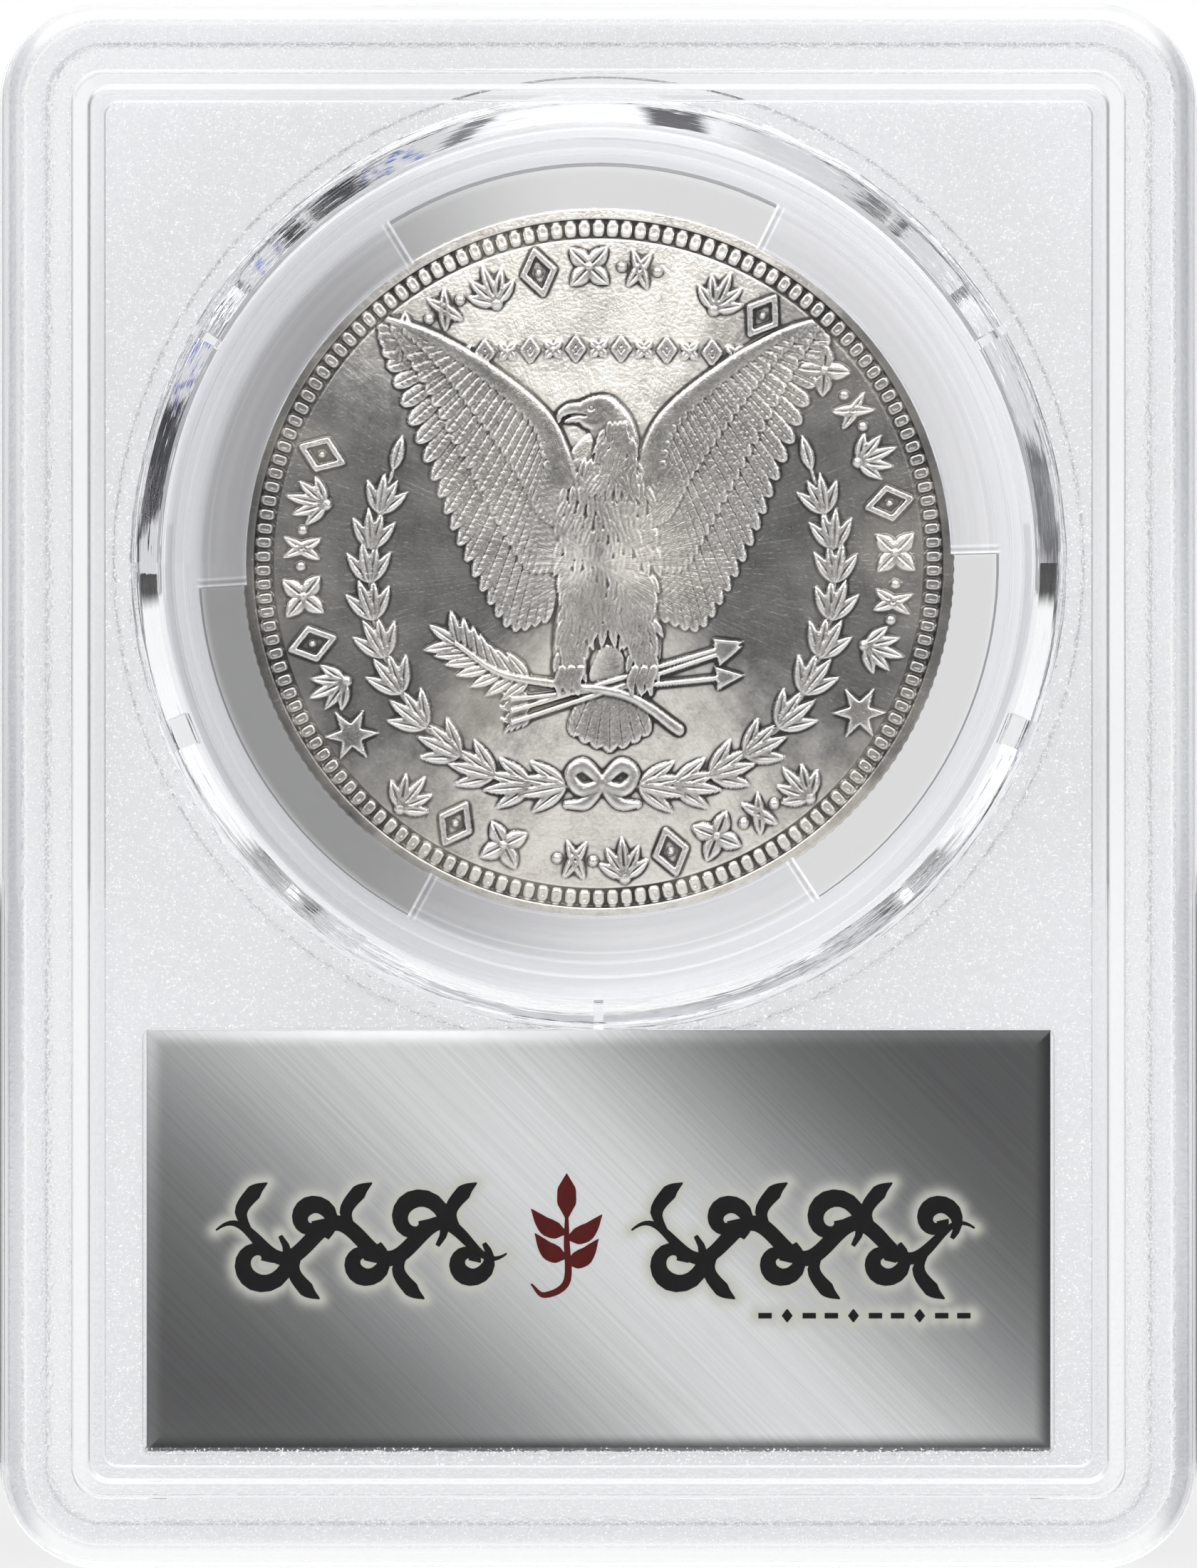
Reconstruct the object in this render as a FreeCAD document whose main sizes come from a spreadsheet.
"""Graded coin slab: two clear moulded shells welded round a gripped coin and a label insert.

The slab stands on its bottom edge with +Z up. Its reverse face looks along -Y, the obverse face
along +Y, and the origin is the middle of the bottom edge, on the parting plane.

Every body is drawn lying down, in a local frame centred on the coin: local X is the slab's width,
local Y its height, and local Z the distance out of the parting plane. A Placement stands it up.
"""

import FreeCAD, Part

import os

import Sketcher
from FreeCAD import Placement, Rotation, Vector

PARTS_FOLDER = "parts"
TOLERANCE = 1e-4

DIMENSIONS = {
    # Outline
    "slab_width": 64.0,
    "slab_height": 84.0,
    "corner_radius": 5.6,
    "coin_height": 53.8,
    # Levels above the parting plane
    "half_seam": 0.05,
    "cavity_level": 1.4,
    "panel_level": 3.1,
    "border_level": 3.3,
    "step_level": 3.62,
    "ridge_level": 4.0,
    "disc_level": 3.5,
    "window_level": 3.25,
    # Shell walls and edges
    "wall": 2.4,
    "shoulder_radius": 1.4,
    "seam_chamfer": 0.2,
    "edge_radius": 0.18,
    # Frame, as insets from the outline
    "ridge_inset": 3.9,
    "step_inset": 4.85,
    "panel_inset": 5.7,
    "nest_inset": 2.25,
    "nest_inner_inset": 3.75,
    "ridge_corner": 1.7,
    "step_corner": 1.1,
    "panel_corner": 0.7,
    # Coin chamber
    "disc_radius": 25.0,
    "disc_bevel": 0.35,
    "chamber_radius": 24.6,
    "chamber_wall": 1.4,
    "ceiling_radius": 23.55,
    "ceiling_level": 2.4,
    "rib_width": 0.5,
    "rib_angle": 30.0,
    "gate_width": 1.7,
    "gate_angle": 22.0,
    "rib_overlap": 0.25,
    # Coin ring
    "ring_radius": 23.3,
    "ring_bore": 21.4,
    "ring_half_height": 2.3,
    "ring_bevel": 0.55,
    "shelf_radius": 22.1,
    "shelf_half_height": 1.95,
    "prong_half_height": 1.7,
    "prong_arc": 62.0,
    "prong_overlap": 0.3,
    "ring_turn": 2.5,
    "lip_overhang": 0.2,
    "lip_slope": 0.15,
    "grip_gap": 0.02,
    # Coin
    "coin_radius": 19.05,
    "coin_half_thickness": 1.2,
    "coin_field_level": 0.95,
    "coin_rim_width": 0.7,
    "coin_edge_chamfer": 0.1,
    # Label insert
    "label_width": 48.3,
    "label_length": 22.5,
    "label_height": 17.6,
    "label_corner": 0.3,
    "card_thickness": 0.3,
    "foil_thickness": 0.14,
    "foil_bevel": 0.1,
    "label_play": 0.03,
    "pocket_gap": 0.2,
    "pocket_drop": 0.4,
    "pocket_corner": 0.5,
    "pocket_depth": 0.5,
    "window_margin": 0.25,
    "label_rib": 1.0,
    # Weld
    "weld_inset": 0.9,
    "weld_width": 0.6,
    "weld_groove": 0.15,
}

doc = FreeCAD.newDocument("coin_slab")
dim = doc.addObject("Spreadsheet::Sheet", "dim")
for row, (alias, number) in enumerate(DIMENSIONS.items(), start=1):
    dim.set(f"A{row}", alias)
    dim.set(f"B{row}", str(number))
    dim.setAlias(f"B{row}", alias)
doc.recompute()


# ---------------------------------------------------------------- formulas over the sheet


def size(formula):
    """What a formula over the sheet comes to."""
    return float(dim.evalExpression(formula))


def side(inset):
    """Distance from the middle to the left and right sides of an outline set in by inset."""
    return f"dim.slab_width / 2 - ({inset})"


def foot(inset):
    """Local Y of the bottom of an outline set in by inset."""
    return f"({inset}) - dim.coin_height"


def crown(inset):
    """Local Y of the top of an outline set in by inset."""
    return f"dim.slab_height - dim.coin_height - ({inset})"


# ---------------------------------------------------------------- sketches


def origin_feature(body, role):
    return next(f for f in body.Origin.OriginFeatures if f.Role == role)


def new_sketch(body, name, plane="XY_Plane", level=None, turn=None):
    """A sketch on one of the body's own planes, lifted to a level and turned about its normal."""
    sketch = body.newObject("Sketcher::SketchObject", name)
    sketch.AttachmentSupport = [(origin_feature(body, plane), "")]
    sketch.MapMode = "FlatFace"
    if turn:
        sketch.AttachmentOffset = Placement(Vector(), Rotation(Vector(0, 0, 1), size(turn)))
        sketch.setExpression(".AttachmentOffset.Rotation.Angle", turn)
    if level:
        sketch.setExpression(".AttachmentOffset.Base.z", level)
    return sketch


def place(sketch, kind, geometry, point, formula):
    """Holds a point's X or Y at a formula, measured from the sketch's origin."""
    origin, end = (-1, 1), (geometry, point)
    if size(formula) < 0:
        origin, end, formula = end, origin, f"-({formula})"
    index = sketch.addConstraint(Sketcher.Constraint(kind, *origin, *end, size(formula)))
    sketch.setExpression(f"Constraints[{index}]", formula)


def draw_box(sketch, left, right, bottom, top, corner):
    """A rectangle with round corners, its four sides and corner radius bound to formulas."""
    x0, x1, y0, y1, r = (size(f) for f in (left, right, bottom, top, corner))
    corners = [(x1 - r, y0 + r), (x1 - r, y1 - r), (x0 + r, y1 - r), (x0 + r, y0 + r)]
    ends = [
        ((x0 + r, y0), (x1 - r, y0)),
        ((x1, y0 + r), (x1, y1 - r)),
        ((x1 - r, y1), (x0 + r, y1)),
        ((x0, y1 - r), (x0, y0 + r)),
    ]
    quarter = FreeCAD.Units.parseQuantity("90 deg").getValueAs("rad").Value
    lines, arcs = [], []
    for k in range(4):
        start, stop = (Vector(*p, 0) for p in ends[k])
        lines.append(sketch.addGeometry(Part.LineSegment(start, stop), False))
        circle = Part.Circle(Vector(*corners[k], 0), Vector(0, 0, 1), r)
        arc = Part.ArcOfCircle(circle, (k - 1) * quarter, k * quarter)
        arcs.append(sketch.addGeometry(arc, False))
    for k in range(4):
        sketch.addConstraint(Sketcher.Constraint("Tangent", lines[k], 2, arcs[k], 1))
        sketch.addConstraint(Sketcher.Constraint("Tangent", arcs[k], 2, lines[(k + 1) % 4], 1))
        if k:
            sketch.addConstraint(Sketcher.Constraint("Equal", arcs[0], arcs[k]))
        kind = "Vertical" if k % 2 else "Horizontal"
        sketch.addConstraint(Sketcher.Constraint(kind, lines[k]))
    radius = sketch.addConstraint(Sketcher.Constraint("Radius", arcs[0], r))
    sketch.setExpression(f"Constraints[{radius}]", corner)
    place(sketch, "DistanceY", lines[0], 1, bottom)
    place(sketch, "DistanceX", lines[1], 1, right)
    place(sketch, "DistanceY", lines[2], 1, top)
    place(sketch, "DistanceX", lines[3], 1, left)


def draw_outline(sketch, inset, corner):
    """The slab's outline, set in by inset."""
    draw_box(sketch, f"-({side(inset)})", side(inset), foot(inset), crown(inset), corner)


def draw_circle(sketch, radius):
    """A circle round the coin's centre."""
    circle = Part.Circle(Vector(), Vector(0, 0, 1), size(radius))
    index = sketch.addGeometry(circle, False)
    sketch.addConstraint(Sketcher.Constraint("Coincident", index, 3, -1, 1))
    constraint = sketch.addConstraint(Sketcher.Constraint("Radius", index, size(radius)))
    sketch.setExpression(f"Constraints[{constraint}]", radius)


def draw_polygon(sketch, points):
    """A closed polygon whose corners are pairs of formulas."""
    corners = [Vector(size(x), size(y), 0) for x, y in points]
    count = len(corners)
    lines = [
        sketch.addGeometry(Part.LineSegment(corners[k], corners[(k + 1) % count]), False)
        for k in range(count)
    ]
    for k in range(count):
        following = lines[(k + 1) % count]
        sketch.addConstraint(Sketcher.Constraint("Coincident", lines[k], 2, following, 1))
        for kind, formula in zip(("DistanceX", "DistanceY"), points[k]):
            if abs(size(formula)) > TOLERANCE:
                place(sketch, kind, lines[k], 1, formula)
                continue
            axis = -2 if kind == "DistanceX" else -1
            sketch.addConstraint(Sketcher.Constraint("PointOnObject", lines[k], 1, axis))


# ---------------------------------------------------------------- features


def new_body(label):
    body = doc.addObject("PartDesign::Body", label)
    body.Label = label
    return body


def pad(body, name, sketch, length):
    """Adds a sketch's area, upwards from its plane."""
    feature = body.newObject("PartDesign::Pad", name)
    feature.Profile = sketch
    feature.setExpression("Length", length)
    doc.recompute()
    return feature


def pocket_up(body, name, sketch, depth):
    """Cuts a sketch's area, upwards from its plane, and checks that something was cut."""
    before = body.Shape.Volume
    feature = body.newObject("PartDesign::Pocket", name)
    feature.Profile = sketch
    feature.Reversed = True
    feature.setExpression("Length", depth)
    doc.recompute()
    if body.Shape.Volume > before - TOLERANCE:
        raise RuntimeError(f"{body.Label}.{name} cut nothing")
    return feature


def turned(body, kind, name, sketch, angle=None):
    """A Revolution or Groove of a sketch about the coin's axis."""
    before = body.Shape.Volume if body.Tip else 0.0
    feature = body.newObject(f"PartDesign::{kind}", name)
    feature.Profile = sketch
    feature.ReferenceAxis = (sketch, ["V_Axis"])
    feature.Midplane = angle is not None
    if angle:
        feature.setExpression("Angle", angle)
    doc.recompute()
    if abs(body.Shape.Volume - before) < TOLERANCE:
        raise RuntimeError(f"{body.Label}.{name} changed nothing")
    return feature


def round_about(body, name, feature, count):
    """Repeats a feature evenly about the coin's axis."""
    pattern = body.newObject("PartDesign::PolarPattern", name)
    pattern.Originals = [feature]
    pattern.Axis = (origin_feature(body, "Z_Axis"), [""])
    pattern.Angle = 360
    pattern.Occurrences = count
    body.Tip = pattern
    doc.recompute()


def mirror_sides(body, name, feature):
    """Repeats a feature on the other side of the slab's middle."""
    mirror = body.newObject("PartDesign::Mirrored", name)
    mirror.Originals = [feature]
    mirror.MirrorPlane = (origin_feature(body, "YZ_Plane"), [""])
    body.Tip = mirror
    doc.recompute()


def flat_edges(feature, level, reach=None):
    """Names of the edges lying at a level and, if reach is given, on the outline that far in."""
    names = []
    for index, edge in enumerate(feature.Shape.Edges, start=1):
        box = edge.BoundBox
        if abs(box.ZMin - level) > TOLERANCE or abs(box.ZMax - level) > TOLERANCE:
            continue
        if reach is not None and not on_outline(edge, reach):
            continue
        names.append(f"Edge{index}")
    return names


def on_outline(edge, inset):
    """Whether an edge's middle is on the sides, or in a corner, of the outline set in by inset."""
    middle = edge.valueAt((edge.FirstParameter + edge.LastParameter) / 2)
    half_width = size("dim.slab_width") / 2
    centre_y = size("dim.slab_height / 2 - dim.coin_height")
    half_height = size("dim.slab_height") / 2
    gap_x = half_width - abs(middle.x)
    gap_y = half_height - abs(middle.y - centre_y)
    straight = min(abs(gap_x - inset), abs(gap_y - inset)) < TOLERANCE
    corner = inset < gap_x < inset + 2 and inset < gap_y < inset + 2
    return straight or corner


def dress(body, kind, name, base, edges, amount):
    """A Fillet or Chamfer on some of the base feature's edges."""
    feature = body.newObject(f"PartDesign::{kind}", name)
    feature.Base = (base, edges)
    feature.setExpression("Radius" if kind == "Fillet" else "Size", amount)
    doc.recompute()
    return feature


# ---------------------------------------------------------------- shells


def shell_block(body):
    """The outer block of a shell, with its rounded shoulder and the chamfer beside the seam."""
    sketch = new_sketch(body, "outline", level="dim.half_seam")
    draw_outline(sketch, "0", "dim.corner_radius")
    block = pad(body, "block", sketch, "dim.border_level - dim.half_seam")
    top = flat_edges(block, size("dim.border_level"))
    shoulder = dress(body, "Fillet", "shoulder", block, top, "dim.shoulder_radius")
    seam = flat_edges(shoulder, size("dim.half_seam"))
    dress(body, "Chamfer", "seam_edge", shoulder, seam, "dim.seam_chamfer")


def raised_frame(body, name, outer, inner, corners, level):
    """A frame standing on the border, between two outlines."""
    sketch = new_sketch(body, f"{name}_outline", level="dim.border_level")
    draw_outline(sketch, outer, corners[0])
    draw_outline(sketch, inner, corners[1])
    return pad(body, name, sketch, f"{level} - dim.border_level")


def panel_recess(body):
    """The panel inside the frame, a little lower than the border."""
    sketch = new_sketch(body, "panel_outline", level="dim.panel_level")
    draw_outline(sketch, "dim.panel_inset", "dim.panel_corner")
    pocket_up(body, "panel", sketch, "dim.border_level - dim.panel_level")


def coin_disc(body):
    """The polished disc over the coin, with a bevelled edge."""
    sketch = new_sketch(body, "disc_profile", "XZ_Plane")
    root = "dim.cavity_level + dim.pocket_depth"
    points = [
        ("0", root),
        ("dim.disc_radius", root),
        ("dim.disc_radius", "dim.disc_level - dim.disc_bevel"),
        ("dim.disc_radius - dim.disc_bevel", "dim.disc_level"),
        ("0", "dim.disc_level"),
    ]
    draw_polygon(sketch, points)
    turned(body, "Revolution", "disc", sketch)


def label_box(sketch, margin, drop, corner):
    """A rectangle round the label insert, margin wider all round and drop lower at the bottom."""
    middle = "dim.label_height - dim.coin_height"
    half_width = f"dim.label_width / 2 + {margin}"
    half_length = f"dim.label_length / 2 + {margin}"
    bottom = f"{middle} - {half_length} - {drop}"
    # The label reaches almost to the disc, so its upper margin is a third of the others.
    top = f"{middle} + dim.label_length / 2 + {margin} / 3"
    draw_box(sketch, f"-({half_width})", half_width, bottom, top, corner)


def label_window(body):
    """The polished rectangle over the label, just proud of the panel."""
    sketch = new_sketch(body, "window_outline", level="dim.panel_level - dim.pocket_depth")
    label_box(sketch, "dim.window_margin", "0", "dim.pocket_corner")
    pad(body, "window", sketch, "dim.window_level - dim.panel_level + dim.pocket_depth")


def hollow(body):
    """The space between the plates, and the wall that closes the coin chamber off from it."""
    sketch = new_sketch(body, "hollow_outline", level="dim.half_seam")
    draw_outline(sketch, "dim.wall", "dim.corner_radius - dim.wall")
    pocket_up(body, "hollow", sketch, "dim.cavity_level - dim.half_seam")
    sketch = new_sketch(body, "chamber_wall_outline", level="dim.half_seam")
    draw_circle(sketch, "dim.chamber_radius + dim.chamber_wall")
    draw_circle(sketch, "dim.chamber_radius - 1")
    pad(body, "chamber_wall", sketch, "dim.cavity_level - dim.half_seam")


def chamber(body):
    """The coin chamber, whose wall turns in at 45 degrees below its ceiling."""
    sketch = new_sketch(body, "chamber_profile", "XZ_Plane")
    points = [
        ("0", "0"),
        ("dim.chamber_radius", "0"),
        ("dim.chamber_radius", "dim.ceiling_level - dim.chamber_radius + dim.ceiling_radius"),
        ("dim.ceiling_radius", "dim.ceiling_level"),
        ("0", "dim.ceiling_level"),
    ]
    draw_polygon(sketch, points)
    turned(body, "Groove", "chamber", sketch)


def chamber_rib(body, name, width, angle):
    """A block that bridges the chamber's slope and touches nothing of the coin ring."""
    bottom = "dim.ceiling_level - dim.chamber_radius + dim.ceiling_radius"
    sketch = new_sketch(body, f"{name}_outline", level=bottom, turn=angle)
    inner, outer = "dim.ceiling_radius - 0.1", "dim.chamber_radius + dim.rib_overlap"
    half = f"{width} / 2"
    draw_polygon(
        sketch, [(inner, f"-{half}"), (outer, f"-{half}"), (outer, half), (inner, half)]
    )
    height = "dim.chamber_radius - dim.ceiling_radius + dim.rib_overlap"
    return pad(body, name, sketch, height)


def weld_channel(body):
    """The shallow channel that the weld bead fills."""
    sketch = new_sketch(body, "weld_outline", level="dim.half_seam")
    draw_weld(sketch)
    pocket_up(body, "weld_channel", sketch, "dim.weld_groove")


def draw_weld(sketch):
    """The weld's two outlines, inside the slab's outer wall."""
    inner = "dim.weld_inset + dim.weld_width"
    draw_outline(sketch, "dim.weld_inset", "dim.corner_radius - dim.weld_inset")
    draw_outline(sketch, inner, f"dim.corner_radius - ({inner})")


def shell(label, frames):
    """A shell with the given raised frames, before its label seat is made."""
    body = new_body(label)
    shell_block(body)
    for name, outer, inner, corners, level in frames:
        base = raised_frame(body, name, outer, inner, corners, level)
        edges = flat_edges(base, size(level))
        dress(body, "Fillet", f"{name}_edges", base, edges, "dim.edge_radius")
    panel_recess(body)
    coin_disc(body)
    label_window(body)
    hollow(body)
    chamber(body)
    rib = chamber_rib(body, "chamber_rib", "dim.rib_width", "dim.rib_angle")
    round_about(body, "chamber_ribs", rib, 3)
    gate = chamber_rib(body, "gate_block", "dim.gate_width", "-dim.gate_angle")
    mirror_sides(body, "gate_blocks", gate)
    weld_channel(body)
    return body


def back_shell():
    """The shell over the coin's reverse, with its stepped ridge and the label's pocket."""
    ridge_corners = ("dim.ridge_corner", "dim.step_corner")
    step_corners = ("dim.step_corner", "dim.panel_corner")
    frames = [
        ("ridge", "dim.ridge_inset", "dim.step_inset", ridge_corners, "dim.ridge_level"),
        ("step", "dim.step_inset", "dim.panel_inset", step_corners, "dim.step_level"),
    ]
    body = shell("back_shell", frames)
    # The pocket's top edge shaves the foot of the chamber wall, so the label goes straight in.
    sketch = new_sketch(body, "pocket_outline", level="dim.half_seam")
    label_box(sketch, "dim.pocket_gap", "dim.pocket_drop", "dim.pocket_corner")
    depth = "dim.cavity_level + dim.pocket_depth - dim.half_seam"
    pocket_up(body, "label_pocket", sketch, depth)
    return body


def front_shell():
    """The shell over the coin's obverse, whose ridge nests outside the back shell's ridge of
    the next slab in a stack. Three ribs hold the label insert up in its pocket."""
    nest_corners = (
        "dim.corner_radius - dim.nest_inset",
        "dim.corner_radius - dim.nest_inner_inset",
    )
    frames = [
        ("ridge", "dim.nest_inset", "dim.nest_inner_inset", nest_corners, "dim.ridge_level")
    ]
    body = shell("front_shell", frames)
    reach = "dim.cavity_level + dim.pocket_depth - dim.label_play - dim.foil_thickness"
    reach = f"{reach} - dim.card_thickness"
    middle = "dim.label_height - dim.coin_height"
    right = "dim.label_width / 2"
    bottom = f"{middle} - dim.label_length / 2"
    top = f"{middle} + dim.label_length / 2 - 2 * dim.label_rib"
    inner_right = f"{right} - dim.label_rib"
    inner_bottom = f"{bottom} + dim.label_rib"
    sketch = new_sketch(body, "label_rib_outline", level=f"-({reach})")
    draw_polygon(
        sketch,
        [
            (f"-({right})", bottom),
            (right, bottom),
            (right, top),
            (inner_right, top),
            (inner_right, inner_bottom),
            (f"-({inner_right})", inner_bottom),
            (f"-({inner_right})", top),
            (f"-({right})", top),
        ],
    )
    pad(body, "label_ribs", sketch, f"{reach} + dim.cavity_level")
    return body


# ---------------------------------------------------------------- what the shells hold


def coin_ring():
    """The ring that centres the coin: a stepped hoop with three prongs that grip its edge."""
    body = new_body("coin_ring")
    sketch = new_sketch(body, "hoop_profile", "XZ_Plane")
    bevel_radius = "dim.ring_radius - dim.ring_bevel"
    bevel_level = "dim.ring_half_height - dim.ring_bevel"
    upper = [
        ("dim.ring_radius", bevel_level),
        (bevel_radius, "dim.ring_half_height"),
        ("dim.shelf_radius", "dim.ring_half_height"),
        ("dim.shelf_radius", "dim.shelf_half_height"),
        ("dim.ring_bore", "dim.shelf_half_height"),
    ]
    lower = [(radius, f"-({level})") for radius, level in reversed(upper)]
    draw_polygon(sketch, upper + lower)
    turned(body, "Revolution", "hoop", sketch)

    sketch = new_sketch(body, "prong_profile", "XZ_Plane")
    root = "dim.ring_bore + dim.prong_overlap"
    grip = "dim.coin_radius + dim.grip_gap"
    lip = "dim.coin_radius - dim.lip_overhang"
    grip_level = "dim.coin_half_thickness + dim.grip_gap"
    upper = [
        (root, "dim.prong_half_height"),
        (f"{lip} + dim.lip_slope", "dim.prong_half_height"),
        (lip, "dim.prong_half_height - dim.lip_slope"),
        (lip, f"{grip_level} + dim.lip_slope"),
        (grip, grip_level),
    ]
    lower = [(radius, f"-({level})") for radius, level in reversed(upper)]
    draw_polygon(sketch, upper + lower)
    prong = turned(body, "Revolution", "prong", sketch, angle="dim.prong_arc")
    round_about(body, "prongs", prong, 3)
    return body


def coin():
    """The struck silver coin: a disc with a raised rim round two lower fields."""
    body = new_body("coin")
    sketch = new_sketch(body, "coin_profile", "XZ_Plane")
    rim = "dim.coin_radius - dim.coin_rim_width"
    slope = "dim.coin_half_thickness - dim.coin_field_level"
    upper = [
        ("dim.coin_radius", "dim.coin_half_thickness - dim.coin_edge_chamfer"),
        ("dim.coin_radius - dim.coin_edge_chamfer", "dim.coin_half_thickness"),
        (rim, "dim.coin_half_thickness"),
        (f"{rim} - {slope}", "dim.coin_field_level"),
        ("0", "dim.coin_field_level"),
    ]
    lower = [(radius, f"-({level})") for radius, level in reversed(upper)]
    draw_polygon(sketch, upper + lower)
    turned(body, "Revolution", "disc", sketch)
    return body


def label_sheet(label, level, thickness):
    """One layer of the label insert, lying at a level in the back shell's pocket."""
    body = new_body(label)
    sketch = new_sketch(body, "sheet_outline", level=level)
    label_box(sketch, "0", "0", "dim.label_corner")
    return body, pad(body, "sheet", sketch, thickness)


def label_card():
    """The card, printed on the side that faces the obverse."""
    level = "dim.cavity_level + dim.pocket_depth - dim.label_play"
    level = f"{level} - dim.foil_thickness - dim.card_thickness"
    return label_sheet("label_card", level, "dim.card_thickness")[0]


def label_foil():
    """The brushed metallised plate on the card's back, with bevelled edges."""
    level = "dim.cavity_level + dim.pocket_depth - dim.label_play - dim.foil_thickness"
    body, plate = label_sheet("label_foil", level, "dim.foil_thickness")
    edges = flat_edges(plate, size(f"{level} + dim.foil_thickness"))
    dress(body, "Chamfer", "bevel", plate, edges, "dim.foil_bevel")
    return body


def weld_bead():
    """The bead of remelted plastic that joins the two shells all the way round."""
    body = new_body("weld_bead")
    half_height = "dim.half_seam + dim.weld_groove"
    sketch = new_sketch(body, "bead_outline", level=f"-({half_height})")
    draw_weld(sketch)
    pad(body, "bead", sketch, f"2 * ({half_height})")
    return body


# ---------------------------------------------------------------- assembly


def stand_up(body, spin=0.0, turn_over=False):
    """Stands a body up on the slab's bottom edge, spun about the coin's axis while it lies down
    and, for the front shell, turned over to face the other way."""
    upright = Rotation(Vector(1, 0, 0), 90)
    over = Rotation(Vector(0, 1, 0), 180 if turn_over else 0)
    about_coin = Rotation(Vector(0, 0, 1), spin)
    centre = Vector(0, 0, size("dim.coin_height"))
    body.Placement = Placement(centre, upright.multiply(over).multiply(about_coin))


def check_and_write(bodies):
    """Stops if any object failed or a shape is unsound, and then writes one STEP per body."""
    doc.recompute()
    for item in doc.Objects:
        if {"Invalid", "Error"} & set(item.State):
            raise RuntimeError(f"{item.Name} failed: {item.State}")
    for body in bodies:
        shape = body.Shape
        if shape.isNull() or not shape.isValid() or len(shape.Solids) != 1:
            raise RuntimeError(f"{body.Label} is not one valid solid")
    os.makedirs(PARTS_FOLDER, exist_ok=True)
    for body in bodies:
        body.Shape.exportStep(f"{PARTS_FOLDER}/{body.Label}.step")
        print(f"{body.Label}: {body.Shape.Volume:.1f} mm3")


back = back_shell()
front = front_shell()
ring = coin_ring()
bodies = [back, front, ring, coin(), label_card(), label_foil(), weld_bead()]
for piece in bodies:
    stand_up(piece)
stand_up(front, turn_over=True)
stand_up(ring, spin=size("dim.rib_angle + dim.ring_turn"))
check_and_write(bodies)
